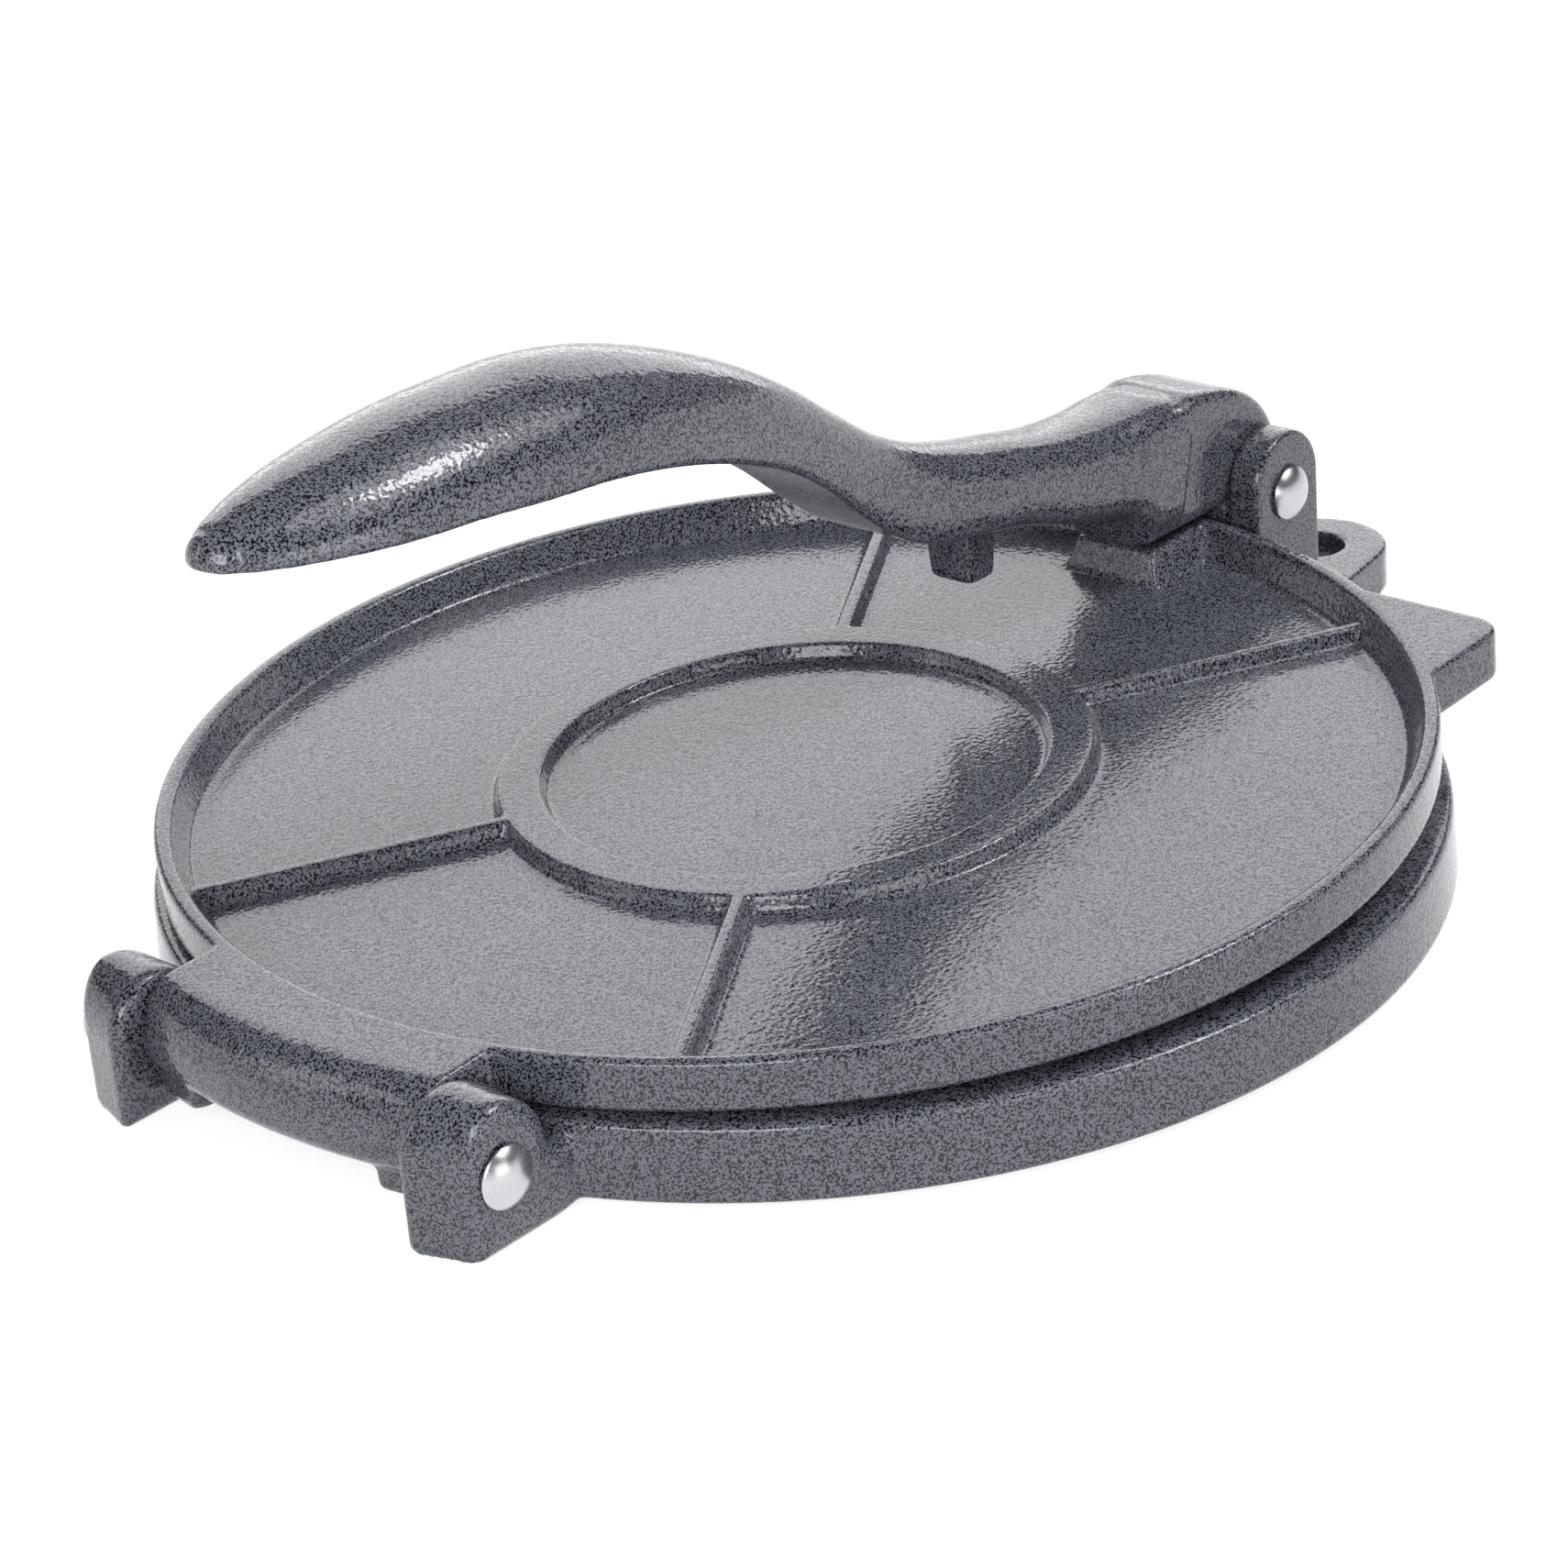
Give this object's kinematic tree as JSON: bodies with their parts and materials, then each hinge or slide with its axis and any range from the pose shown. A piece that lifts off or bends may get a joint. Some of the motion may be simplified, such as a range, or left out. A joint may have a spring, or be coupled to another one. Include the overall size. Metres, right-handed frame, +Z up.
{
  "type": "tortilla press",
  "caption": "Cast press that flattens dough between a round base and a hinged ribbed top plate, worked by a long curved lever on a rear fulcrum, with a hanging loop.",
  "frame": {"origin": "middle of the bounding box's bottom, on the table under the base", "axes": "+X from the plate hinge towards the lever's fulcrum and the hanging loop, +Y towards the left ear as seen from the hinge side's back, +Z up"},
  "size_m": [0.3464, 0.2594, 0.1313],
  "materials": {
    "casting": "grey hammertone powder coat",
    "pin_steel": "polished nickel plate"
  },
  "bodies": {
    "base": {"base": "casting", "hinge_pin": "pin_steel", "hinge_cap_left": "pin_steel", "hinge_cap_right": "pin_steel", "lever_pin": "pin_steel", "lever_cap_left": "pin_steel", "lever_cap_right": "pin_steel"},
    "plate": {"top_plate": "casting"},
    "lever": {"lever": "casting"}
  },
  "joints": [
    {"name": "plate_hinge", "type": "hinge", "parent": "base", "child": "plate", "pos_m": [-0.1617, 0, 0.0147], "axis": [0, -1, 0], "range_deg": [-1.9, 0]},
    {"name": "lever_hinge", "type": "hinge", "parent": "base", "child": "lever", "pos_m": [0.1142, 0, 0.0396], "axis": [0, 1, 0], "range_deg": [0, 160]}
  ]
}
